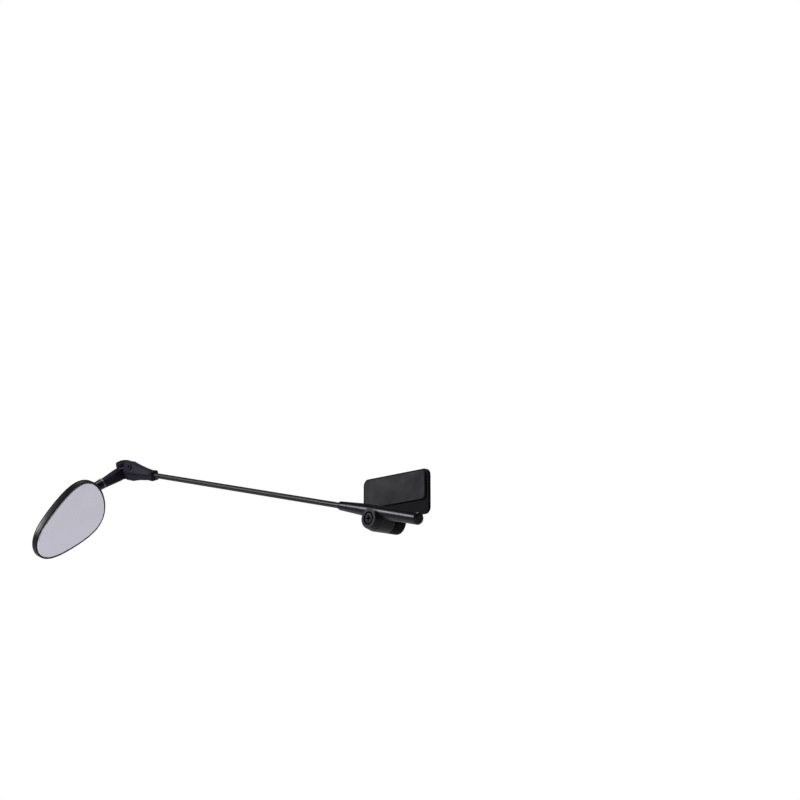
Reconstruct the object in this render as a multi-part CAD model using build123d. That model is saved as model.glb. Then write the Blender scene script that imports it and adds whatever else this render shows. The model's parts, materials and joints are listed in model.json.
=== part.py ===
from build123d import *
import os
from math import copysign, cos, pi, radians, sin, sqrt

# Bicycle helmet mirror. Millimetres, +Z up.
# The origin is the centre of the adhesive pad's bonding face, which looks along -Y, away from the wearer.
# The arm runs towards -X. Every group is built in its own local frame and then placed.

# ---------------------------------------------------------------- base
PAD_WIDTH = 46.0
PAD_HEIGHT = 15.0
PAD_THICK = 1.0
PAD_CORNER = 2.5
PLATE_WIDTH = 50.0
PLATE_TOP = 8.5
PLATE_THICK = 2.0
PLATE_CORNER = 3.5
PLATE_EDGE = 0.5
PIVOT_DROP = 17.5
PLATE_ABOVE_PIVOT = 2.0
BARREL_RADIUS = 6.55
BARREL_LENGTH = 21.5
BOSS_FRONT = 7.3

# ---------------------------------------------------------------- pivot hardware (M3)
PIVOT_SHANK = 1.5
PIVOT_HOLE = 1.56
PIVOT_HEAD = 3.3
PIVOT_HEAD_HEIGHT = 2.2
PIVOT_COUNTERBORE = 3.6
PIVOT_COUNTERBORE_DEPTH = 2.3
PIVOT_NUT_FLATS = 5.5
PIVOT_NUT_HEIGHT = 2.4
LOCK_WASHER_THICK = 0.7
LOCK_WASHER_RADIUS = 2.6
LOCK_WASHER_GAP = 0.6
FRICTION_THICK = 0.5
FRICTION_RADIUS = 5.4
SCREW_END_GAP = 0.1

# ---------------------------------------------------------------- sleeve
ARM_PITCH = 13.16
TUBE_SETBACK = 5.0
TUBE_OFFSET = 4.04
TUBE_RADIUS = 3.35
TUBE_BORE = 1.95
TUBE_FRONT = 28.8
TUBE_REAR = -31.0
NOSE_RADIUS = 2.45
NOSE_CONE_REAR = 9.0
NOSE_EDGE = 0.25
KNUCKLE_CHAMFER_AXIAL = 4.5
KNUCKLE_CHAMFER_RADIAL = 1.25
BUSH_LENGTH = 5.5
BUSH_RADIUS = 2.05
BUSH_BORE = 1.65
BUSH_FLANGE = 2.3
BUSH_FLANGE_THICK = 0.6
CAP_LENGTH = 2.5
CAP_DOME = 1.7
CAP_PLUG = 1.6

# ---------------------------------------------------------------- rod
ROD_RADIUS = 1.6
WIRE_RADIUS = 1.0
WIRE_EDGE = 0.25
ROD_INNER_END = -5.2
SLIDER_RADIUS = 1.88
SLIDER_REAR = -4.0
SLIDER_FRONT = 2.0
SLIDER_BORE = 1.05
SLIDER_EDGE = 0.2
SHEATH_REAR = 2.05
RETAINER_RADIUS = 1.75
RETAINER_THICK = 0.5
RETAINER_GROOVE = 0.75
JOINT_REACH = 240.7
ROD_END_BEFORE_JOINT = 14.0

# ---------------------------------------------------------------- arm end
ARM_END_ROLL = 22.0
EAR_RADIUS = 4.7
EAR_PEAK = 6.6
EAR_DOME = 9.0
EAR_BRIDGE_TOP = 6.2
EAR_UNDERSIDE = 2.8
EAR_BACK = -6.2
EAR_NECK = 2.3
EAR_EDGE = 1.1
BODY_BACK = -31.2
FLANK = 0.8
HALF_EDGE = 0.45
# place along the arm, half width at the split plane, half width far from it, height
UPPER_STATIONS = [
    (-31.2, 2.7, 1.5, 2.65),
    (-25.4, 3.2, 1.6, 3.4),
    (-20.0, 3.6, 1.6, 4.4),
    (-14.7, 4.0, 1.7, 5.5),
    (-11.4, 4.1, 1.8, 6.4),
    (-5.05, 4.1, 1.8, 6.3),
]
LOWER_STATIONS = [
    (-31.2, 2.6, 1.4, -3.1),
    (-21.0, 3.2, 1.9, -3.85),
    (-16.0, 3.6, 2.2, -4.5),
    (-12.8, 3.8, 2.4, -5.15),
    (-5.05, 3.8, 2.4, -5.0),
]
PINCH_BOSS_X = -10.9
PINCH_BOSS_HEIGHT = 4.2
PINCH_BOSS_RADIUS = 2.4
PINCH_BOSS_PROUD = 0.45
PINCH_BOSS_EDGE = 0.2
PINCH_RECESS_RADIUS = 0.85
PINCH_RECESS_DEPTH = 1.3
SPIGOT_RADIUS = 2.4
SPIGOT_BACK = -34.0
FERRULE_WIDTH = 5.7
FERRULE_HEIGHT = 6.0
FERRULE_LOW = 0.3
FERRULE_CORNER = 1.1
FERRULE_LIP = 0.4
FERRULE_EDGE = 0.5
CLAMP_X = -10.0
CLAMP_SHANK = 1.0
CLAMP_TOP = 3.4
CLAMP_HEAD = 1.9
CLAMP_HEAD_HEIGHT = 1.3
CLAMP_SEAT = -2.7

# ---------------------------------------------------------------- tilt joint (M2.5)
TILT_SHANK = 1.22
TILT_HOLE = 1.25
TILT_HEAD = 2.25
TILT_HEAD_HEIGHT = 1.4
TILT_HEAD_GAP = 0.2
TILT_SEAT = 4.7
TILT_SCREW_END = -4.5
TILT_NUT_FLATS = 5.0
TILT_NUT_HEIGHT = 1.6
TILT_NUT_SEAT = -2.8
TILT_WASHER_THICK = 0.4
UPPER_WASHER_RADIUS = 3.9
LOWER_WASHER_RADIUS = 3.2

# ---------------------------------------------------------------- stem
STEM_RISE = 0.3
KNUCKLE_RADIUS = 4.7
KNUCKLE_TOP = 2.3
KNUCKLE_BOTTOM = -4.6
KNUCKLE_HOLE = 1.3
KNUCKLE_RECESS_RADIUS = 3.5
KNUCKLE_RECESS_FLOOR = -2.3
STEM_BEND = 96.56
STEM_DROOP = 11.4
STEM_CLEARANCE = 5.1
STEM_ROOT = 2.0
STEM_FLARE = 6.0
STEM_END = 18.4
STEM_CHAMFER = 1.5
# width, height and height of the middle above the stem's axis
STEM_ROOT_SECTION = (6.0, 7.05, -0.98)
STEM_END_SECTION = (4.7, 5.35, -0.63)
SEAT_START = 17.8
SEAT_RADIUS = 3.0
SEAT_END = 18.9
COLLAR_RADIUS = 3.35
COLLAR_THICK = 1.4
COLLAR_EDGE = 0.3
PIN_RADIUS = 1.5
PIN_END = 26.0
PIN_EDGE = 0.25
PIN_TAP = 0.8
PIN_TAP_DEPTH = 5.2

# ---------------------------------------------------------------- swivel hardware (M2)
RING_PLACE = 22.6
RING_MINOR = 0.33
RING_MAJOR = 1.2
RING_GROOVE = 0.85
RING_GROOVE_WIDTH = 0.8
SWIVEL_WASHER_RADIUS = 1.9
SWIVEL_WASHER_THICK = 0.5
SWIVEL_HEAD = 1.75
SWIVEL_HEAD_HEIGHT = 1.2
SWIVEL_SHANK = 0.8

# ---------------------------------------------------------------- mirror head
FACE_ROLL = -15.5
NECK_REACH = 21.9
NECK_PLACE = (-30.83, -3.44, -4.6)
NECK_ANGLE = -12.47
LENS_HALF_LENGTH = 27.85
LENS_HALF_WIDTH = 19.79
LENS_EGG = -0.273
LENS_SQUARE = 0.116
LENS_THICK = 1.8
LENS_BEVEL = 0.35
LENS_FIT = 0.15
TAPE_THICK = 0.6
TAPE_BAND = 2.4
BEZEL_BAND = 0.55
BEZEL_EDGE = 0.45
RIM_WIDTH = 1.1
RIM_TOP = -0.35
RIM_EDGE = 0.3
WALL_DEPTH = 2.9
HOUSING_DEPTH = 9.8
DOME_STEPS = (0.0, 0.28, 0.54, 0.76, 0.92, 1.0)
DOME_FULLNESS = 0.80
DOME_POWER = 2.2
DOME_END_SCALE = 0.36
SHELL_THICK = 1.6
LEDGE_WIDTH = 2.6
BOSS_RADIUS = 3.2
BOSS_START = 20.4
BOSS_END = 28.5
BOSS_EDGE = 0.4
SWIVEL_BORE = 1.55
POCKET_FACE = 25.95
POCKET_RADIUS = 2.1
POCKET_LENGTH = 6.0
OUTLINE_POINTS = 36

RUNNING_GAP = 0.05
CUT = 1.0

# ---------------------------------------------------------------- fasteners, as shares of their own sizes
SCREW_CROWN = 0.45
SCREW_TIP = 0.3
SCREW_RECESS_DEPTH = 0.6
SCREW_RECESS_WING = 0.5
SCREW_RECESS_SLOT = 0.13
NUT_BEVEL = 0.55
NUT_POCKET_GAP = 0.1

# ---------------------------------------------------------------- frames
PLATE_BACK = PAD_THICK + PLATE_THICK
BARREL_FRONT = PLATE_BACK - BARREL_LENGTH
BOSS_FACE = PLATE_BACK - BOSS_FRONT
TUBE_Y = BARREL_FRONT + TUBE_SETBACK
pitch = radians(ARM_PITCH)
ARM_X = Vector(-cos(pitch), 0, sin(pitch))
ARM_UP = Vector(sin(pitch), 0, cos(pitch))
ARM = Plane(origin=Vector(0, TUBE_Y, -PIVOT_DROP) + ARM_UP * TUBE_OFFSET, x_dir=ARM_X, z_dir=ARM_UP)
roll = radians(ARM_END_ROLL)
TILT_AXIS = ARM_UP * cos(roll) + Vector(0, -1, 0) * sin(roll)
TIP = Plane(origin=ARM.origin + ARM_X * JOINT_REACH, x_dir=ARM_X, z_dir=TILT_AXIS)
bend = radians(STEM_BEND)
droop = radians(STEM_DROOP)
STEM_X = (TIP.x_dir * cos(bend) + TIP.y_dir * sin(bend)) * cos(droop) - TILT_AXIS * sin(droop)
STEM_UP = (TILT_AXIS - STEM_X * TILT_AXIS.dot(STEM_X)).normalized()
STEM = Plane(origin=TIP.origin + TILT_AXIS * STEM_RISE, x_dir=STEM_X, z_dir=STEM_UP)
face_roll = radians(FACE_ROLL)
FACE_NORMAL = STEM.y_dir * cos(face_roll) + STEM.z_dir * sin(face_roll)
neck = radians(NECK_ANGLE)
HEAD_X = STEM_X * cos(neck) - FACE_NORMAL.cross(STEM_X) * sin(neck)
HEAD_SIDE = FACE_NORMAL.cross(HEAD_X)
NECK = STEM.origin + STEM_X * NECK_REACH
HEAD = Plane(
    origin=NECK - HEAD_X * NECK_PLACE[0] - HEAD_SIDE * NECK_PLACE[1] - FACE_NORMAL * NECK_PLACE[2],
    x_dir=HEAD_X,
    z_dir=FACE_NORMAL,
)


# ---------------------------------------------------------------- helpers
def save(shape, node):
    solids = shape.solids()
    export_step(solids[0] if len(solids) == 1 else Compound(children=list(solids)), f"parts/{node}.step")


def rod(radius, start, end, axis="z", center=(0, 0, 0)):
    """A cylinder from start to end along one axis of its frame."""
    base = {
        "x": Plane(origin=Vector(*center) + Vector(start, 0, 0), x_dir=(0, 1, 0), z_dir=(1, 0, 0)),
        "y": Plane(origin=Vector(*center) + Vector(0, start, 0), x_dir=(0, 0, 1), z_dir=(0, 1, 0)),
        "z": Plane(origin=Vector(*center) + Vector(0, 0, start), x_dir=(1, 0, 0), z_dir=(0, 0, 1)),
    }[axis]
    return base.location * Cylinder(radius, end - start, align=(Align.CENTER, Align.CENTER, Align.MIN))


def pipe(outer, inner, start, end, axis="z", center=(0, 0, 0)):
    return rod(outer, start, end, axis, center) - rod(inner, start - CUT, end + CUT, axis, center)


def block(x0, x1, y0, y1, z0, z1):
    corner = Location(((x0 + x1) / 2, (y0 + y1) / 2, (z0 + z1) / 2))
    return corner * Box(x1 - x0, y1 - y0, z1 - z0)


def pan_screw(head, head_height, shank, length):
    """A pan-head screw with a cross recess. The head stands on z = 0, and the shank goes down from there."""
    top = fillet(rod(head, 0, head_height).edges().sort_by(Axis.Z)[-1], head_height * SCREW_CROWN)
    body = chamfer(rod(shank, -length, 0).edges().sort_by(Axis.Z)[0], shank * SCREW_TIP)
    recess_floor = head_height * (1 - SCREW_RECESS_DEPTH)
    wing = head * SCREW_RECESS_WING
    slot = head * SCREW_RECESS_SLOT
    recess = block(-wing, wing, -slot, slot, recess_floor, head_height + CUT)
    recess += block(-slot, slot, -wing, wing, recess_floor, head_height + CUT)
    return top + body - recess


def hex_nut(flats, height, bore):
    """A hexagonal nut on z = 0 with chamfered corners."""
    corner = flats / sqrt(3)
    bevel = corner - flats / 2
    prism = extrude(RegularPolygon(corner, 6), height)
    turned = chamfer(rod(corner, 0, height).edges(), bevel * NUT_BEVEL, bevel)
    return (prism & turned) - rod(bore, -CUT, height + CUT)


def hex_pocket(flats, depth):
    return extrude(RegularPolygon((flats + NUT_POCKET_GAP) / sqrt(3), 6), depth)


def egg_points(grow=0.0, scale=1.0):
    """The mirror's outline: an ellipse, narrowed towards its tip at +X."""
    points = []
    for i in range(OUTLINE_POINTS):
        turn = 2 * pi * i / OUTLINE_POINTS
        taper = 1 + LENS_EGG * cos(turn) + LENS_SQUARE * cos(2 * turn)
        x = LENS_HALF_LENGTH * cos(turn)
        y = LENS_HALF_WIDTH * sin(turn) * taper
        along_x = -LENS_HALF_LENGTH * sin(turn)
        along_y = LENS_HALF_WIDTH * (
            cos(turn) * taper + sin(turn) * (-LENS_EGG * sin(turn) - 2 * LENS_SQUARE * sin(2 * turn))
        )
        length = sqrt(along_x**2 + along_y**2)
        points.append(((x + grow * along_y / length) * scale, (y - grow * along_x / length) * scale))
    return points


def egg_face(z, grow=0.0, scale=1.0):
    outline = Spline(*[(x, y, z) for x, y in egg_points(grow, scale)], periodic=True)
    return make_face(Wire([outline]))


def egg_slab(z0, z1, grow=0.0):
    return extrude(egg_face(z0, grow), z1 - z0, dir=(0, 0, 1))


def egg_dome(z_top, depth, grow):
    """A dome that closes downwards from the outline at z_top."""
    faces = []
    for step in DOME_STEPS:
        scale = DOME_END_SCALE + (1 - DOME_END_SCALE) * (1 - step**DOME_POWER) ** DOME_FULLNESS
        faces.append(egg_face(z_top - depth * step, grow, scale))
    return loft(faces)


# ---------------------------------------------------------------- base
def make_adhesive_pad():
    outline = RectangleRounded(PAD_WIDTH, PAD_HEIGHT, PAD_CORNER)
    front = Plane(origin=(0, PAD_THICK, 0), x_dir=(1, 0, 0), z_dir=(0, -1, 0))
    return extrude(front.location * outline, PAD_THICK)


def make_base_plate():
    bottom = -PIVOT_DROP + PLATE_ABOVE_PIVOT
    height = PLATE_TOP - bottom
    back = Plane(origin=(0, PLATE_BACK, (PLATE_TOP + bottom) / 2), x_dir=(1, 0, 0), z_dir=(0, -1, 0))
    plate = extrude(back.location * RectangleRounded(PLATE_WIDTH, height, PLATE_CORNER), PLATE_THICK)
    plate = fillet(plate.edges().group_by(Axis.Y)[-1], PLATE_EDGE)
    pivot = (0, 0, -PIVOT_DROP)
    boss = rod(BARREL_RADIUS, BOSS_FACE, PLATE_BACK, "y", pivot)
    boss = fillet(boss.edges().sort_by(Axis.Y)[-1], PLATE_EDGE)
    brace_back = PLATE_BACK - PLATE_EDGE
    brace = block(-BARREL_RADIUS, BARREL_RADIUS, PAD_THICK, brace_back, -PIVOT_DROP, bottom + CUT)
    solid = plate + boss + brace
    nut_floor = PLATE_BACK - PIVOT_NUT_HEIGHT - LOCK_WASHER_THICK
    pocket = Plane(origin=(0, nut_floor, -PIVOT_DROP), x_dir=(1, 0, 0), z_dir=(0, 1, 0))
    solid -= pocket.location * hex_pocket(PIVOT_NUT_FLATS, 2 * PIVOT_NUT_HEIGHT)
    return solid - rod(PIVOT_HOLE, BOSS_FACE - CUT, PLATE_BACK + CUT, "y", pivot)


def make_pivot_screw():
    seat = BARREL_FRONT + PIVOT_COUNTERBORE_DEPTH - RUNNING_GAP
    length = PLATE_BACK - SCREW_END_GAP - seat
    screw = pan_screw(PIVOT_HEAD, PIVOT_HEAD_HEIGHT, PIVOT_SHANK, length)
    return Plane(origin=(0, seat, -PIVOT_DROP), x_dir=(1, 0, 0), z_dir=(0, -1, 0)).location * screw


def make_pivot_nut():
    nut = hex_nut(PIVOT_NUT_FLATS, PIVOT_NUT_HEIGHT, PIVOT_SHANK)
    seat = Plane(origin=(0, PLATE_BACK - PIVOT_NUT_HEIGHT, -PIVOT_DROP), x_dir=(1, 0, 0), z_dir=(0, 1, 0))
    return seat.location * nut


def make_lock_washer():
    start = PLATE_BACK - PIVOT_NUT_HEIGHT - LOCK_WASHER_THICK
    end = start + LOCK_WASHER_THICK
    ring = pipe(LOCK_WASHER_RADIUS, PIVOT_HOLE, start, end, "y", (0, 0, -PIVOT_DROP))
    gap = block(0, 2 * LOCK_WASHER_RADIUS, start - CUT, end + CUT, -LOCK_WASHER_GAP / 2, LOCK_WASHER_GAP / 2)
    return ring - Location((0, 0, -PIVOT_DROP)) * gap


def make_friction_washer():
    return pipe(FRICTION_RADIUS, PIVOT_HOLE, BOSS_FACE - FRICTION_THICK, BOSS_FACE, "y", (0, 0, -PIVOT_DROP))


# ---------------------------------------------------------------- sleeve (arm frame)
def make_sleeve():
    knuckle_rear = BOSS_FACE - FRICTION_THICK - RUNNING_GAP
    pivot = (0, 0, -PIVOT_DROP)
    knuckle = rod(BARREL_RADIUS, BARREL_FRONT, knuckle_rear, "y", pivot)
    front_edge = knuckle.edges().sort_by(Axis.Y)[0]
    front_face = knuckle.faces().sort_by(Axis.Y)[0]
    knuckle = chamfer(front_edge, KNUCKLE_CHAMFER_RADIAL, KNUCKLE_CHAMFER_AXIAL, reference=front_face)
    profile = Polyline(
        (TUBE_REAR, 0, 0),
        (TUBE_REAR, 0, TUBE_RADIUS),
        (NOSE_CONE_REAR, 0, TUBE_RADIUS),
        (TUBE_FRONT - NOSE_EDGE, 0, NOSE_RADIUS),
        (TUBE_FRONT, 0, NOSE_RADIUS - NOSE_EDGE),
        (TUBE_FRONT, 0, 0),
        close=True,
    )
    tube = revolve(make_face(profile), Axis.X)
    solid = knuckle + ARM.location * tube
    seat = BARREL_FRONT + PIVOT_COUNTERBORE_DEPTH
    solid -= rod(PIVOT_COUNTERBORE, BARREL_FRONT - CUT, seat, "y", pivot)
    solid -= rod(PIVOT_HOLE, BARREL_FRONT - CUT, 0, "y", pivot)
    solid -= ARM.location * rod(TUBE_BORE, TUBE_REAR - CUT, TUBE_FRONT + CUT, "x")
    return solid - ARM.location * rod(BUSH_RADIUS, TUBE_FRONT - BUSH_LENGTH, TUBE_FRONT + CUT, "x")


def make_nose_bush():
    body = rod(BUSH_RADIUS, TUBE_FRONT - BUSH_LENGTH, TUBE_FRONT, "x")
    flange = rod(BUSH_FLANGE, TUBE_FRONT, TUBE_FRONT + BUSH_FLANGE_THICK, "x")
    flange = fillet(flange.edges().sort_by(Axis.X)[-1], BUSH_FLANGE_THICK / 2)
    bore = rod(BUSH_BORE, TUBE_FRONT - BUSH_LENGTH - CUT, TUBE_FRONT + BUSH_FLANGE_THICK + CUT, "x")
    return ARM.location * (body + flange - bore)


def make_sleeve_end_cap():
    dome = rod(TUBE_RADIUS, TUBE_REAR - CAP_LENGTH, TUBE_REAR, "x")
    dome = fillet(dome.edges().sort_by(Axis.X)[0], CAP_DOME)
    plug = rod(TUBE_BORE, TUBE_REAR, TUBE_REAR + CAP_PLUG, "x")
    plug = chamfer(plug.edges().sort_by(Axis.X)[-1], PLATE_EDGE)
    return ARM.location * (dome + plug)


# ---------------------------------------------------------------- rod (arm frame)
def make_rod_slider():
    body = rod(SLIDER_RADIUS, SLIDER_REAR, SLIDER_FRONT, "x")
    body = chamfer(body.edges(), SLIDER_EDGE)
    return ARM.location * (body - rod(SLIDER_BORE, SLIDER_REAR - CUT, SLIDER_FRONT + CUT, "x"))


def make_rod_wire():
    wire = rod(WIRE_RADIUS, ROD_INNER_END, JOINT_REACH - ROD_END_BEFORE_JOINT, "x")
    wire = chamfer(wire.edges(), WIRE_EDGE)
    end = SLIDER_REAR - RUNNING_GAP
    groove = pipe(2 * WIRE_RADIUS, RETAINER_GROOVE, end - RETAINER_THICK, end, "x")
    return ARM.location * (wire - groove)


def make_rod_retainer():
    end = SLIDER_REAR - RUNNING_GAP
    ring = pipe(RETAINER_RADIUS, RETAINER_GROOVE, end - RETAINER_THICK, end, "x")
    mouth = block(end - CUT, end + CUT, -RETAINER_GROOVE, RETAINER_GROOVE, 0, 2 * RETAINER_RADIUS)
    return ARM.location * (ring - mouth)


def make_rod_sheath():
    return ARM.location * pipe(ROD_RADIUS, WIRE_RADIUS, SHEATH_REAR, JOINT_REACH - ROD_END_BEFORE_JOINT, "x")


# ---------------------------------------------------------------- arm end (tip frame)
def arm_end_section(x, wide, narrow, height):
    """A section of one half: a low flank on the split plane, a face that leans in, a cut corner."""
    side = copysign(FLANK, height)
    edge = copysign(HALF_EDGE, height)
    right = [(wide, 0), (wide, side), (narrow + HALF_EDGE, height - edge), (narrow, height)]
    left = [(-y, z) for y, z in reversed(right)]
    return make_face(Polyline(*[(x, y, z) for y, z in right + left], close=True))


def arm_end_half(stations):
    half = None
    for first, second in zip(stations, stations[1:]):
        piece = loft([arm_end_section(*first), arm_end_section(*second)], ruled=True)
        half = piece if half is None else half + piece
    return half


def make_ear():
    """The domed round ear over the stem's knuckle, with the bridge that joins it to the body."""
    def dome_height(r):
        return EAR_PEAK - EAR_DOME + sqrt(EAR_DOME**2 - r**2)

    inner = EAR_RADIUS - EAR_EDGE
    top = dome_height(inner)
    side = top - EAR_EDGE
    turn = EAR_EDGE * sin(pi / 4)
    crown = ThreePointArc((0, 0, EAR_PEAK), (inner / 2, 0, dome_height(inner / 2)), (inner, 0, top))
    edge = ThreePointArc((inner, 0, top), (inner + turn, 0, side + turn), (EAR_RADIUS, 0, side))
    underside = [(EAR_RADIUS, 0, EAR_UNDERSIDE), (0, 0, EAR_UNDERSIDE)]
    rest = Polyline((EAR_RADIUS, 0, side), *underside, (0, 0, EAR_PEAK))
    cap = revolve(make_face([crown, edge, rest]), Axis.Z)
    return cap + block(EAR_BACK, 0, -EAR_NECK, EAR_NECK, EAR_UNDERSIDE, EAR_BRIDGE_TOP)


def rod_channel():
    return rod(ROD_RADIUS, SPIGOT_BACK - CUT, -ROD_END_BEFORE_JOINT, "x")


def spigot(z0, z1):
    whole = rod(SPIGOT_RADIUS, SPIGOT_BACK, BODY_BACK + CUT, "x")
    half = block(SPIGOT_BACK - CUT, BODY_BACK + 2 * CUT, -2 * SPIGOT_RADIUS, 2 * SPIGOT_RADIUS, z0, z1)
    return whole & half


def pinch_boss_plane():
    """The plane of the leaning face at the round boss."""
    widest = UPPER_STATIONS[-2]
    lean_y = widest[2] + HALF_EDGE - widest[1]
    lean_z = widest[3] - HALF_EDGE - FLANK
    slope = Vector(0, lean_y, lean_z).normalized()
    y = widest[1] + lean_y * (PINCH_BOSS_HEIGHT - FLANK) / lean_z
    return Plane(origin=(PINCH_BOSS_X, y, PINCH_BOSS_HEIGHT), x_dir=(1, 0, 0), z_dir=(0, slope.Z, -slope.Y))


def make_arm_end_upper():
    face = pinch_boss_plane()
    boss = rod(PINCH_BOSS_RADIUS, -2 * CUT, PINCH_BOSS_PROUD)
    boss = chamfer(boss.edges().sort_by(Axis.Z)[-1], PINCH_BOSS_EDGE)
    recess = rod(PINCH_RECESS_RADIUS, PINCH_BOSS_PROUD - PINCH_RECESS_DEPTH, 2 * CUT)
    solid = arm_end_half(UPPER_STATIONS) + make_ear() + spigot(0, 2 * SPIGOT_RADIUS)
    solid += face.location * boss
    solid -= face.location * recess
    solid -= rod(TILT_HOLE, -CUT, EAR_PEAK + CUT)
    solid -= rod(TILT_HEAD + TILT_HEAD_GAP, TILT_SEAT, EAR_PEAK + CUT)
    solid -= rod(CLAMP_SHANK, -CUT, CLAMP_TOP, "z", (CLAMP_X, 0, 0))
    return TIP.location * (solid - rod_channel())


def make_arm_end_lower():
    bottom = LOWER_STATIONS[-1][3] - 2 * CUT
    solid = arm_end_half(LOWER_STATIONS) + spigot(-2 * SPIGOT_RADIUS, 0)
    solid -= rod(CLAMP_SHANK + RUNNING_GAP, bottom, CUT, "z", (CLAMP_X, 0, 0))
    solid -= rod(CLAMP_HEAD + 2 * RUNNING_GAP, bottom, CLAMP_SEAT, "z", (CLAMP_X, 0, 0))
    return TIP.location * (solid - rod_channel())


def make_arm_end_ferrule():
    start = SPIGOT_BACK - FERRULE_LIP
    back = Plane(origin=(start, 0, -FERRULE_LOW), x_dir=(0, 1, 0), z_dir=(1, 0, 0))
    outline = RectangleRounded(FERRULE_WIDTH, FERRULE_HEIGHT, FERRULE_CORNER)
    ferrule = extrude(back.location * outline, BODY_BACK - start)
    ferrule = chamfer(ferrule.edges().group_by(Axis.X)[0], FERRULE_EDGE)
    ferrule -= rod(SPIGOT_RADIUS, SPIGOT_BACK, BODY_BACK + CUT, "x")
    return TIP.location * (ferrule - rod(ROD_RADIUS, start - CUT, SPIGOT_BACK + CUT, "x"))


def make_clamp_screw():
    length = CLAMP_TOP - CLAMP_SEAT - SCREW_END_GAP
    screw = pan_screw(CLAMP_HEAD, CLAMP_HEAD_HEIGHT, CLAMP_SHANK, length)
    upside_down = Plane(origin=(CLAMP_X, 0, CLAMP_SEAT), x_dir=(1, 0, 0), z_dir=(0, 0, -1))
    return TIP.location * (upside_down.location * screw)


def make_tilt_screw():
    screw = pan_screw(TILT_HEAD, TILT_HEAD_HEIGHT, TILT_SHANK, TILT_SEAT - TILT_SCREW_END)
    return TIP.location * (Location((0, 0, TILT_SEAT)) * screw)


def make_tilt_nut():
    nut = hex_nut(TILT_NUT_FLATS, TILT_NUT_HEIGHT, TILT_SHANK)
    return TIP.location * (Location((0, 0, TILT_NUT_SEAT - TILT_NUT_HEIGHT)) * nut)


def make_tilt_washers():
    upper = pipe(UPPER_WASHER_RADIUS, TILT_HOLE, EAR_UNDERSIDE - TILT_WASHER_THICK, EAR_UNDERSIDE)
    lower = pipe(LOWER_WASHER_RADIUS, TILT_HOLE, TILT_NUT_SEAT, TILT_NUT_SEAT + TILT_WASHER_THICK)
    return TIP.location * Compound(children=[upper.solid(), lower.solid()])


# ---------------------------------------------------------------- stem (stem frame)
def stem_section(x, section):
    """The leg's section: a rectangle whose lower two corners are cut."""
    width, height, middle = section
    side = width / 2
    top = middle + height / 2
    bottom = middle - height / 2
    outline = Polyline(
        (x, side, top),
        (x, -side, top),
        (x, -side, bottom + STEM_CHAMFER),
        (x, -side + STEM_CHAMFER, bottom),
        (x, side - STEM_CHAMFER, bottom),
        (x, side, bottom + STEM_CHAMFER),
        close=True,
    )
    return make_face(outline)


def make_stem():
    root = stem_section(STEM_ROOT, STEM_ROOT_SECTION)
    flare = stem_section(STEM_FLARE, STEM_ROOT_SECTION)
    end = stem_section(STEM_END, STEM_END_SECTION)
    leg = loft([root, flare], ruled=True) + loft([flare, end], ruled=True)
    seat = rod(SEAT_RADIUS, SEAT_START, SEAT_END, "x")
    pin = rod(PIN_RADIUS, STEM_END, PIN_END, "x")
    pin = chamfer(pin.edges().sort_by(Axis.X)[-1], PIN_EDGE)
    half_groove = RING_GROOVE_WIDTH / 2
    pin -= pipe(2 * PIN_RADIUS, RING_GROOVE, RING_PLACE - half_groove, RING_PLACE + half_groove, "x")
    solid = STEM.location * (leg + seat + pin)
    solid -= TIP.location * rod(STEM_CLEARANCE, KNUCKLE_TOP, KNUCKLE_TOP + EAR_PEAK)
    solid += TIP.location * rod(KNUCKLE_RADIUS, KNUCKLE_BOTTOM, KNUCKLE_TOP)
    solid -= TIP.location * rod(KNUCKLE_HOLE, KNUCKLE_BOTTOM - CUT, KNUCKLE_TOP + CUT)
    solid -= TIP.location * rod(KNUCKLE_RECESS_RADIUS, KNUCKLE_BOTTOM - 2 * CUT, KNUCKLE_RECESS_FLOOR)
    return solid - STEM.location * rod(PIN_TAP, PIN_END - PIN_TAP_DEPTH, PIN_END + CUT, "x")


def make_swivel_collar():
    collar = rod(COLLAR_RADIUS, SEAT_END, SEAT_END + COLLAR_THICK, "x")
    collar = fillet(collar.edges(), COLLAR_EDGE)
    return STEM.location * (collar - rod(PIN_RADIUS, SEAT_END - CUT, SEAT_END + COLLAR_THICK + CUT, "x"))


def make_swivel_o_ring():
    place = Plane(origin=(RING_PLACE, 0, 0), x_dir=(0, 1, 0), z_dir=(1, 0, 0))
    return STEM.location * (place.location * Torus(RING_MAJOR, RING_MINOR))


def make_swivel_washer():
    start = PIN_END
    return STEM.location * pipe(SWIVEL_WASHER_RADIUS, SWIVEL_SHANK, start, start + SWIVEL_WASHER_THICK, "x")


def make_swivel_screw():
    seat = PIN_END + SWIVEL_WASHER_THICK
    screw = pan_screw(SWIVEL_HEAD, SWIVEL_HEAD_HEIGHT, SWIVEL_SHANK, PIN_TAP_DEPTH)
    place = Plane(origin=(seat, 0, 0), x_dir=(0, 1, 0), z_dir=(1, 0, 0))
    return STEM.location * (place.location * screw)


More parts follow.
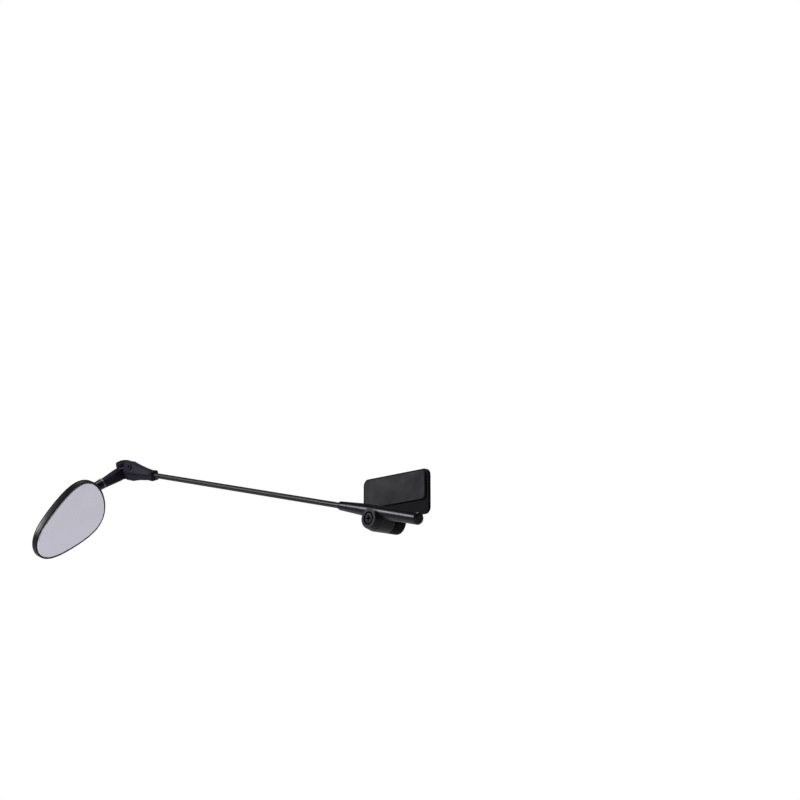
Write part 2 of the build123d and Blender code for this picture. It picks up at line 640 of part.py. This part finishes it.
# ---------------------------------------------------------------- mirror head (head frame)
def make_mirror_housing():
    wall = egg_slab(-WALL_DEPTH, RIM_TOP, RIM_WIDTH)
    wall = fillet(wall.edges().group_by(Axis.Z)[-1], RIM_EDGE)
    shell = wall + egg_dome(-WALL_DEPTH, HOUSING_DEPTH - WALL_DEPTH, RIM_WIDTH)
    boss = rod(BOSS_RADIUS, BOSS_START, BOSS_END, "x")
    boss = fillet(boss.edges().sort_by(Axis.X)[0], BOSS_EDGE)
    solid = HEAD.location * shell + STEM.location * boss
    ledge = -LENS_THICK - TAPE_THICK
    recess = egg_slab(ledge, CUT, LENS_FIT)
    inner_wall = egg_slab(-WALL_DEPTH - SHELL_THICK, ledge + CUT, -LEDGE_WIDTH)
    inner_depth = HOUSING_DEPTH - WALL_DEPTH - 2 * SHELL_THICK
    inner_dome = egg_dome(-WALL_DEPTH - SHELL_THICK, inner_depth, -LEDGE_WIDTH)
    solid -= HEAD.location * recess
    solid -= HEAD.location * inner_wall
    solid -= HEAD.location * inner_dome
    solid -= STEM.location * rod(SWIVEL_BORE, BOSS_START - CUT, POCKET_FACE + CUT, "x")
    return solid - STEM.location * rod(POCKET_RADIUS, POCKET_FACE, POCKET_FACE + POCKET_LENGTH, "x")


def make_lens_tape():
    ring = egg_slab(-LENS_THICK - TAPE_THICK, -LENS_THICK, -LENS_FIT)
    return HEAD.location * (ring - egg_slab(-LENS_THICK - CUT, 0, -TAPE_BAND))


def make_lens_ring():
    """The bright bezel around the lens, flush with its face and sloping away outside it."""
    ring = egg_slab(-LENS_THICK, 0)
    ring = chamfer(ring.edges().group_by(Axis.Z)[-1], BEZEL_EDGE)
    return HEAD.location * (ring - egg_slab(-LENS_THICK - CUT, CUT, -BEZEL_BAND))


def make_mirror_lens():
    lens = egg_slab(-LENS_THICK, 0, -BEZEL_BAND)
    lens = chamfer(lens.edges().group_by(Axis.Z)[0], LENS_BEVEL)
    return HEAD.location * lens


NODES = {
    "base_plate": make_base_plate,
    "adhesive_pad": make_adhesive_pad,
    "pivot_screw": make_pivot_screw,
    "pivot_nut": make_pivot_nut,
    "lock_washer": make_lock_washer,
    "friction_washer": make_friction_washer,
    "sleeve": make_sleeve,
    "nose_bush": make_nose_bush,
    "sleeve_end_cap": make_sleeve_end_cap,
    "rod_slider": make_rod_slider,
    "rod_wire": make_rod_wire,
    "rod_retainer": make_rod_retainer,
    "rod_sheath": make_rod_sheath,
    "arm_end_upper": make_arm_end_upper,
    "arm_end_lower": make_arm_end_lower,
    "arm_end_ferrule": make_arm_end_ferrule,
    "clamp_screw": make_clamp_screw,
    "tilt_screw": make_tilt_screw,
    "tilt_nut": make_tilt_nut,
    "tilt_washers": make_tilt_washers,
    "stem": make_stem,
    "swivel_collar": make_swivel_collar,
    "swivel_o_ring": make_swivel_o_ring,
    "swivel_washer": make_swivel_washer,
    "swivel_screw": make_swivel_screw,
    "mirror_housing": make_mirror_housing,
    "lens_tape": make_lens_tape,
    "mirror_lens": make_mirror_lens,
    "lens_ring": make_lens_ring,
}

os.makedirs("parts", exist_ok=True)
for node, make in NODES.items():
    save(make(), node)
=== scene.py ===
import json
import math

import bmesh
import bpy
from mathutils import Matrix, Vector


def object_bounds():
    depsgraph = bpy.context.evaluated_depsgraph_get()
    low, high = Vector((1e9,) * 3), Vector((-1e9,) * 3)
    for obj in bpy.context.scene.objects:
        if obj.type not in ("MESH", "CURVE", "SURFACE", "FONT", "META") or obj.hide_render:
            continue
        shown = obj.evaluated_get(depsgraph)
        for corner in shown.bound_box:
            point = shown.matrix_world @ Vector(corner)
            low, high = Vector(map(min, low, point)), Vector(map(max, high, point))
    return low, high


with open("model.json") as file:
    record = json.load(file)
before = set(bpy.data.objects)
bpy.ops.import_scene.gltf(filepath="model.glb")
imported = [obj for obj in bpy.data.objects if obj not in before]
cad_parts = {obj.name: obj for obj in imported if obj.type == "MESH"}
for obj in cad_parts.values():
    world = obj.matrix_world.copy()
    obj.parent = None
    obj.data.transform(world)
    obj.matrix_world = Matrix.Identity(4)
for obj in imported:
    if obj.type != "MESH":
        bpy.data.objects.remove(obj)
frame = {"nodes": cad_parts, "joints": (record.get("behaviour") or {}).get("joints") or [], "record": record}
cad_low, cad_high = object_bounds()

# ---------------------------------------------------------------- driving values (metres, degrees)
MM = 0.001
CAMERA_AZIMUTH = 46.3
CAMERA_ELEVATION = -13.42
CAMERA_BACK = 0.86151
CAMERA_RIGHT = 0.01082
CAMERA_UP = 0.06298
CAMERA_LENS = 73.8
FLOOR_DROP = 0.36
FLOOR_SIZE = 9.0
WORLD_SIDES = 0.20
WORLD_TOP = 0.05
SUN_STRENGTH = 1.8
SUN_SPREAD = 25
SUN_TILT = -8
KEY_POWER = 11.5
KEY_PLACE = (-0.77, -0.77, 0.48)
KEY_AIM = (-0.1, 0, 0)
KEY_SIZE = (0.34, 0.34)
KEY_COLOUR = (0.95, 0.93, 1.0)

WORLD_LOW = 0.1
WORLD_HIGH = 0.6

# shared by the materials: the spans of a noise that a mix or a gloss follows, and the wear on edges
CLOUD_RANGE = (0.35, 0.65)
SOFT_RANGE = (0.3, 0.7)
RANGE_SOCKETS = ("From Min", "From Max", "To Min", "To Max")
EDGE_STARTS = 0.975
EDGE_FULL = 0.85
EDGE_SAMPLES = 4
ROUND_SAMPLES = 6
WEAR_PATCHES = 420
WEAR_BRIGHTER = 4.0
WEAR_ROUGHNESS = 0.2
SCRATCH_STRETCH = 0.15
WELD_DISTANCE = 0.002
SHARP_ANGLE = 32

JOINTS = {joint["name"]: joint for joint in frame["joints"]}
PIVOT = Vector(JOINTS["arm_pivot"]["pos_m"])


# ---------------------------------------------------------------- node helpers
class Nodes:
    """A material's node tree, with one short method for each kind of node."""

    def __init__(self, name):
        self.material = bpy.data.materials.new(name)
        self.material.use_nodes = True
        self.tree = self.material.node_tree
        self.shader = self.tree.nodes["Principled BSDF"]

    def add(self, kind, **values):
        node = self.tree.nodes.new(kind)
        for key, value in values.items():
            setattr(node, key, value)
        return node

    def link(self, out, into):
        self.tree.links.new(out, into)

    def place(self, scale=(1, 1, 1), rotation=(0, 0, 0)):
        coordinates = self.add("ShaderNodeTexCoord")
        mapping = self.add("ShaderNodeMapping")
        mapping.inputs["Scale"].default_value = scale
        mapping.inputs["Rotation"].default_value = rotation
        self.link(coordinates.outputs["Object"], mapping.inputs["Vector"])
        return mapping.outputs["Vector"]

    def noise(self, scale, detail=3.0, vector=None, rough=0.55):
        node = self.add("ShaderNodeTexNoise")
        node.inputs["Scale"].default_value = scale
        node.inputs["Detail"].default_value = detail
        node.inputs["Roughness"].default_value = rough
        self.link(vector or self.place(), node.inputs["Vector"])
        return node.outputs["Fac"]

    def remap(self, value, low, high, to_low, to_high):
        node = self.add("ShaderNodeMapRange")
        for key, number in zip(RANGE_SOCKETS, (low, high, to_low, to_high)):
            node.inputs[key].default_value = number
        self.link(value, node.inputs["Value"])
        return node.outputs["Result"]

    def math(self, operation, first, second):
        node = self.add("ShaderNodeMath", operation=operation)
        for socket, value in zip(node.inputs, (first, second)):
            if isinstance(value, (int, float)):
                socket.default_value = value
            else:
                self.link(value, socket)
        return node.outputs["Value"]

    def mix(self, factor, first, second):
        node = self.add("ShaderNodeMix", data_type="RGBA")
        self.link(factor, node.inputs["Factor"])
        for socket, value in ((node.inputs[6], first), (node.inputs[7], second)):
            if isinstance(value, tuple):
                socket.default_value = (*value, 1)
            else:
                self.link(value, socket)
        return node.outputs[2]

    def edges(self, radius):
        """1 along sharp edges, 0 on flat faces."""
        bevel = self.add("ShaderNodeBevel", samples=EDGE_SAMPLES)
        bevel.inputs["Radius"].default_value = radius
        geometry = self.add("ShaderNodeNewGeometry")
        dot = self.add("ShaderNodeVectorMath", operation="DOT_PRODUCT")
        self.link(bevel.outputs["Normal"], dot.inputs[0])
        self.link(geometry.outputs["Normal"], dot.inputs[1])
        return self.remap(dot.outputs["Value"], EDGE_STARTS, EDGE_FULL, 0.0, 1.0)

    def bump(self, height, distance, strength=1.0, normal=None):
        node = self.add("ShaderNodeBump")
        node.inputs["Distance"].default_value = distance
        node.inputs["Strength"].default_value = strength
        self.link(height, node.inputs["Height"])
        if normal is not None:
            self.link(normal, node.inputs["Normal"])
        return node.outputs["Normal"]

    def rounded(self, radius):
        bevel = self.add("ShaderNodeBevel", samples=ROUND_SAMPLES)
        bevel.inputs["Radius"].default_value = radius
        return bevel.outputs["Normal"]

    def finish(self, colour=None, roughness=None, normal=None, **constants):
        for key, value in (("Base Color", colour), ("Roughness", roughness), ("Normal", normal)):
            if value is not None:
                self.link(value, self.shader.inputs[key])
        for key, value in constants.items():
            self.shader.inputs[key.replace("_", " ")].default_value = value
        return self.material


def shade(colour, factor):
    return tuple(min(1.0, channel * factor) for channel in colour)


# ---------------------------------------------------------------- materials
def moulded(name, colour, roughness, specular, grain=1500, depth=0.012, wear=0.5, edge=0.25):
    """Moulded plastic: fine grain, cloudy gloss and slightly rubbed edges."""
    n = Nodes(name)
    cloud = n.noise(70, 4)
    grain_height = n.noise(grain, 2)
    patches = n.remap(n.noise(WEAR_PATCHES, 3), 0.42, 0.62, 0.0, wear)
    rubbed = n.math("MULTIPLY", n.edges(edge * MM), patches)
    body = n.mix(n.remap(cloud, *CLOUD_RANGE, 0.0, 1.0), shade(colour, 0.8), shade(colour, 1.25))
    colour_out = n.mix(rubbed, body, shade(colour, WEAR_BRIGHTER))
    gloss = n.remap(cloud, *SOFT_RANGE, roughness - 0.05, roughness + 0.07)
    rough = n.math("ADD", gloss, n.math("MULTIPLY", rubbed, WEAR_ROUGHNESS))
    normal = n.bump(grain_height, depth * MM, 1.0, n.rounded(edge * 0.5 * MM))
    return n.finish(colour_out, rough, normal, Specular_IOR_Level=specular)


def coated_rod():
    """Extruded black coating: very fine lines along the rod, with a soft sheen."""
    n = Nodes("rod_coating")
    axis = Vector(JOINTS["rod_slide"]["axis"])
    turn = (0, math.atan2(axis.z, -axis.x), 0)
    lines = n.noise(1.0, 2, n.place((25, 2600, 2600), turn))
    cloud = n.noise(60, 3)
    colour = n.mix(n.remap(lines, *CLOUD_RANGE, 0.0, 1.0), (0.005, 0.0048, 0.0056), (0.012, 0.0115, 0.0135))
    rough = n.remap(cloud, *SOFT_RANGE, 0.34, 0.46)
    return n.finish(colour, rough, n.bump(lines, 0.010 * MM), Specular_IOR_Level=0.15)


def metal(name, colour, roughness, scratch=1800, edge=0.12):
    """Plated or blackened metal with fine turning marks and brighter edges."""
    n = Nodes(name)
    marks = n.noise(1.0, 3, n.place((scratch, scratch, scratch * SCRATCH_STRETCH)))
    cloud = n.noise(160, 3)
    body = n.mix(n.remap(cloud, *CLOUD_RANGE, 0.0, 1.0), shade(colour, 0.75), colour)
    worn = n.math("MULTIPLY", n.edges(edge * MM), 0.5)
    rough = n.remap(marks, *SOFT_RANGE, roughness - 0.05, roughness + 0.10)
    normal = n.bump(marks, 0.006 * MM, 1.0, n.rounded(edge * MM))
    return n.finish(n.mix(worn, body, shade(colour, 1.8)), rough, normal, Metallic=1.0)


def nylon():
    """Natural nylon: cloudy off-white with a fine grain."""
    n = Nodes("white_nylon")
    cloud = n.noise(220, 3)
    colour = n.mix(n.remap(cloud, *SOFT_RANGE, 0.0, 1.0), (0.62, 0.61, 0.57), (0.76, 0.75, 0.71))
    return n.finish(colour, n.remap(cloud, *SOFT_RANGE, 0.42, 0.55), n.bump(n.noise(2400, 2), 0.006 * MM))


def foam(name, colour):
    """Closed-cell foam tape: fine open pores on its cut edges and face, with painted shade darkening the
    pores.
    """
    n = Nodes(name)
    cells = n.add("ShaderNodeTexVoronoi", feature="F1")
    cells.inputs["Scale"].default_value = 3200
    n.link(n.place(), cells.inputs["Vector"])
    pore_depth_and_shade = n.remap(cells.outputs["Distance"], 0.05, 0.45, 0.0, 1.0)
    # painted shade: the colour is darker in the pores and lighter on the cell walls; the same pore mask
    # drives the bump
    out = n.mix(pore_depth_and_shade, shade(colour, 0.55), shade(colour, 1.3))
    return n.finish(out, n.remap(n.noise(90, 3), *SOFT_RANGE, 0.72, 0.9), n.bump(pore_depth_and_shade, 0.03 * MM))


def mirror_glass():
    """Silvered glass: almost perfect, with the faintest film of dust."""
    n = Nodes("mirror_glass")
    film = n.remap(n.noise(55, 5), 0.35, 0.75, 0.0, 1.0)
    colour = n.mix(film, (0.82, 0.803, 0.905), (0.785, 0.768, 0.866))
    rough = n.remap(film, 0.0, 1.0, 0.012, 0.045)
    return n.finish(colour, rough, None, Metallic=1.0)


def pale_floor():
    """Matt, almost white paper with the faintest clouds."""
    n = Nodes("pale_floor")
    colour = n.mix(n.remap(n.noise(3, 3), *SOFT_RANGE, 0.0, 1.0), (0.83, 0.83, 0.835), (0.86, 0.86, 0.865))
    return n.finish(colour, n.remap(n.noise(40, 3), *SOFT_RANGE, 0.85, 0.95), None, Specular_IOR_Level=0.1)


MATERIALS = {
    "base_plastic": moulded("base_plastic", (0.0040, 0.0037, 0.0044), 0.55, 0.04, grain=1100, depth=0.02),
    "sleeve_plastic": moulded("sleeve_plastic", (0.0044, 0.0041, 0.0053), 0.31, 0.17),
    "joint_plastic": moulded("joint_plastic", (0.0135, 0.0114, 0.0190), 0.50, 0.055),
    "housing_plastic": moulded("housing_plastic", (0.0072, 0.0060, 0.0090), 0.34, 0.20, grain=1300),
    "rod_coating": coated_rod(),
    "black_steel": metal("black_steel", (0.016, 0.0155, 0.018), 0.42),
    "zinc_steel": metal("zinc_steel", (0.62, 0.62, 0.65), 0.28),
    "collar_metal": metal("collar_metal", (0.13, 0.13, 0.16), 0.44),
    "bright_trim": metal("bright_trim", (0.86, 0.86, 0.89), 0.40),
    "white_nylon": nylon(),
    "rubber": moulded("rubber", (0.018, 0.018, 0.018), 0.6, 0.28, wear=0.1),
    "adhesive_foam": foam("adhesive_foam", (0.0065, 0.0062, 0.0070)),
    "mirror_glass": mirror_glass(),
}


def dress(obj, slot):
    obj.data.materials.clear()
    obj.data.materials.append(MATERIALS[slot])


def soften(obj, radius):
    """Rounds a moulded part's sharp edges with a bevel and keeps its flat faces flat."""
    weld = obj.modifiers.new("weld", "WELD")
    weld.merge_threshold = WELD_DISTANCE * MM
    bevel = obj.modifiers.new("round", "BEVEL")
    bevel.width = radius
    bevel.segments = 3
    bevel.limit_method = "ANGLE"
    bevel.angle_limit = math.radians(SHARP_ANGLE)
    bevel.use_clamp_overlap = True
    normals = obj.modifiers.new("normals", "WEIGHTED_NORMAL")
    normals.keep_sharp = True


# radius in millimetres of the rounded edges of each moulded part that shows them
SOFT_EDGES = {
    "sleeve": 0.3,
    "arm_end_upper": 0.3,
    "arm_end_lower": 0.3,
    "arm_end_ferrule": 0.2,
    "stem": 0.35,
    "base_plate": 0.25,
}


def finish_cad_nodes():
    """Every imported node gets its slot's material, and the moulded ones get rounded edges."""
    for part in frame["record"]["subparts"]:
        obj = frame["nodes"][part["node"]]
        dress(obj, part["material_slot"])
        if part["node"] in SOFT_EDGES:
            soften(obj, SOFT_EDGES[part["node"]] * MM)


finish_cad_nodes()


# ---------------------------------------------------------------- studio
def area_light(name, place, aim, size, power, colour):
    """A soft rectangular light at place, looking at aim."""
    data = bpy.data.lights.new(name, "AREA")
    data.shape = "RECTANGLE"
    data.size, data.size_y = size
    data.energy = power
    data.color = colour
    light = bpy.data.objects.new(name, data)
    light.location = place
    light.rotation_euler = (Vector(aim) - Vector(place)).to_track_quat("-Z", "Y").to_euler()
    bpy.context.scene.collection.objects.link(light)


def sun_light():
    """Broad light from above and a little from +Y, the wearer's side."""
    data = bpy.data.lights.new("overhead", "SUN")
    data.energy = SUN_STRENGTH
    data.angle = math.radians(SUN_SPREAD)
    light = bpy.data.objects.new("overhead", data)
    light.rotation_euler = (math.radians(SUN_TILT), 0, 0)
    bpy.context.scene.collection.objects.link(light)


def make_floor():
    """A pale floor well below the object, which the mirror's lens reflects."""
    mesh = bpy.data.meshes.new("floor")
    work = bmesh.new()
    bmesh.ops.create_grid(work, x_segments=8, y_segments=8, size=FLOOR_SIZE / 2)
    work.to_mesh(mesh)
    work.free()
    floor = bpy.data.objects.new("floor", mesh)
    floor.location = (0, 0, cad_low.z - FLOOR_DROP)
    mesh.materials.append(pale_floor())
    bpy.context.scene.collection.objects.link(floor)


def make_world():
    """A white backdrop that lights the object only dimly, more from the sides than from above."""
    world = bpy.data.worlds.new("studio")
    world.use_nodes = True
    tree = world.node_tree
    shader = tree.nodes["Background"]
    direction = tree.nodes.new("ShaderNodeTexCoord")
    split = tree.nodes.new("ShaderNodeSeparateXYZ")
    ramp = tree.nodes.new("ShaderNodeMapRange")
    for key, number in zip(RANGE_SOCKETS, (WORLD_LOW, WORLD_HIGH, WORLD_SIDES, WORLD_TOP)):
        ramp.inputs[key].default_value = number
    path = tree.nodes.new("ShaderNodeLightPath")
    strength = tree.nodes.new("ShaderNodeMath")
    strength.operation = "MAXIMUM"
    tree.links.new(direction.outputs["Generated"], split.inputs["Vector"])
    tree.links.new(split.outputs["Z"], ramp.inputs["Value"])
    tree.links.new(ramp.outputs["Result"], strength.inputs[0])
    tree.links.new(path.outputs["Is Camera Ray"], strength.inputs[1])
    tree.links.new(strength.outputs["Value"], shader.inputs["Strength"])
    shader.inputs["Color"].default_value = (1.0, 1.0, 1.0, 1)
    bpy.context.scene.world = world


def make_camera():
    """A camera that looks along the fitted direction, placed from the arm's pivot."""
    azimuth, elevation = math.radians(CAMERA_AZIMUTH), math.radians(CAMERA_ELEVATION)
    outward = Vector((math.sin(azimuth), -math.cos(azimuth), 0))
    back = outward * math.cos(elevation) + Vector((0, 0, math.sin(elevation)))
    right = Vector((math.cos(azimuth), math.sin(azimuth), 0))
    up = back.cross(right)
    data = bpy.data.cameras.new("camera")
    data.lens = CAMERA_LENS
    data.clip_start = 0.02
    data.clip_end = 60
    camera = bpy.data.objects.new("camera", data)
    turn = Matrix((right, up, back)).transposed().to_4x4()
    place = PIVOT + right * CAMERA_RIGHT + up * CAMERA_UP + back * CAMERA_BACK
    camera.matrix_world = Matrix.Translation(place) @ turn
    bpy.context.scene.collection.objects.link(camera)
    bpy.context.scene.camera = camera


make_floor()
make_world()
make_camera()
area_light("key", KEY_PLACE, KEY_AIM, KEY_SIZE, KEY_POWER, KEY_COLOUR)
sun_light()
bpy.context.scene.view_settings.view_transform = "Standard"
